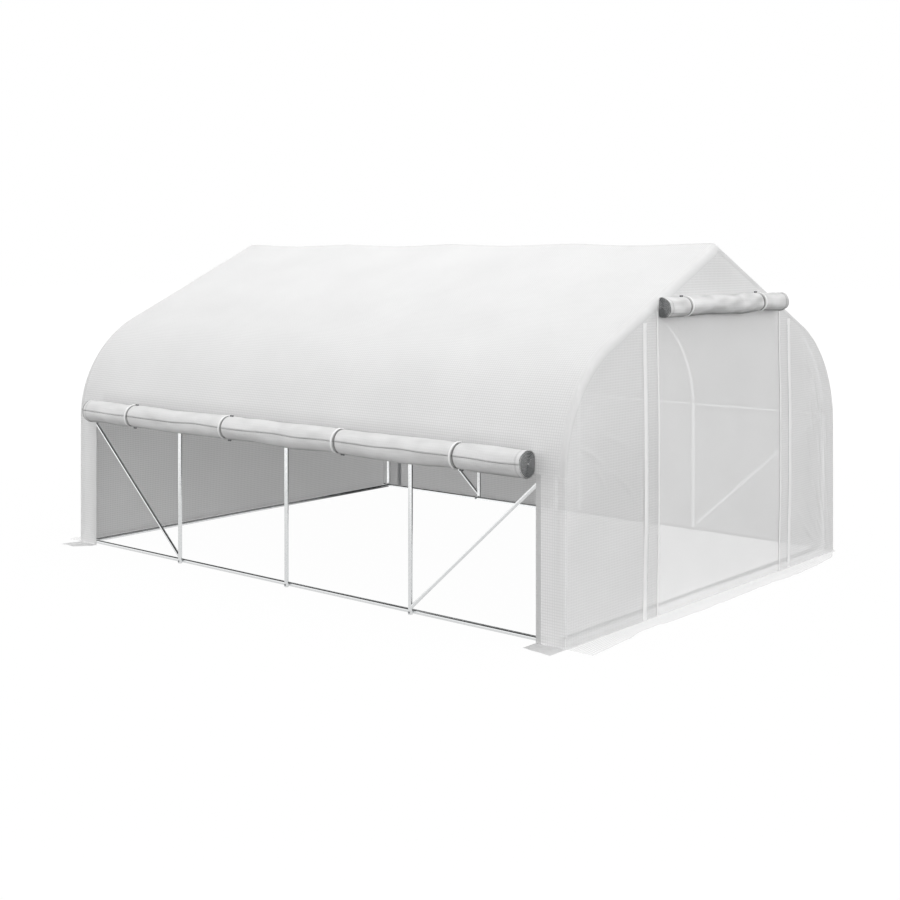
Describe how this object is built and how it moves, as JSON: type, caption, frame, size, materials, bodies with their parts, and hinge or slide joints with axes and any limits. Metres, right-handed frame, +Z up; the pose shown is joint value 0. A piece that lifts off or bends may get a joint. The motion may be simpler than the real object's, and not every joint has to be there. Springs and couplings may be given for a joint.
{
  "type": "tunnel greenhouse",
  "caption": "Walk-in tunnel greenhouse with bent steel tube arches under a translucent grid cloth, one long side and the door flap rolled up and tied, and ground flaps.",
  "frame": {"origin": "on the ground under the middle of the ridge", "axes": "+X along the ridge towards the door gable, +Y towards the closed long side, +Z up"},
  "size_m": [4.36, 3.36, 2],
  "materials": {
    "galvanised_steel": "satin",
    "cover_cloth": "satin",
    "screen_mesh": "matt",
    "strap_webbing": "matt"
  },
  "bodies": {
    "root": {"front_half_arch_1": "galvanised_steel", "front_half_arch_2": "galvanised_steel", "front_half_arch_3": "galvanised_steel", "front_half_arch_4": "galvanised_steel", "front_half_arch_5": "galvanised_steel", "back_half_arch_1": "galvanised_steel", "back_half_arch_2": "galvanised_steel", "back_half_arch_3": "galvanised_steel", "back_half_arch_4": "galvanised_steel", "back_half_arch_5": "galvanised_steel", "ridge_elbows": "galvanised_steel", "ridge_pole": "galvanised_steel", "front_purlin": "galvanised_steel", "back_purlin": "galvanised_steel", "front_base_rail": "galvanised_steel", "back_base_rail": "galvanised_steel", "far_base_rail": "galvanised_steel", "door_base_rail": "galvanised_steel", "front_far_brace": "galvanised_steel", "front_door_brace": "galvanised_steel", "back_far_brace": "galvanised_steel", "back_door_brace": "galvanised_steel", "roof_front_shoulder": "cover_cloth", "roof_front_slope": "cover_cloth", "roof_back_slope": "cover_cloth", "roof_back_shoulder": "cover_cloth", "far_gable": "cover_cloth", "door_gable_front": "cover_cloth", "door_gable_back": "cover_cloth", "door_gable_top": "cover_cloth", "front_strip_far": "cover_cloth", "front_strip_door": "cover_cloth", "back_strip_far": "cover_cloth", "back_strip_door": "cover_cloth", "back_panel": "cover_cloth", "front_flaps": "cover_cloth", "back_flap": "cover_cloth", "far_gable_flap": "cover_cloth", "door_gable_flaps": "cover_cloth", "side_roll": "cover_cloth", "door_roll": "cover_cloth", "door_screen": "screen_mesh", "side_roll_straps": "strap_webbing", "door_roll_straps": "strap_webbing"}
  },
  "joints": []
}
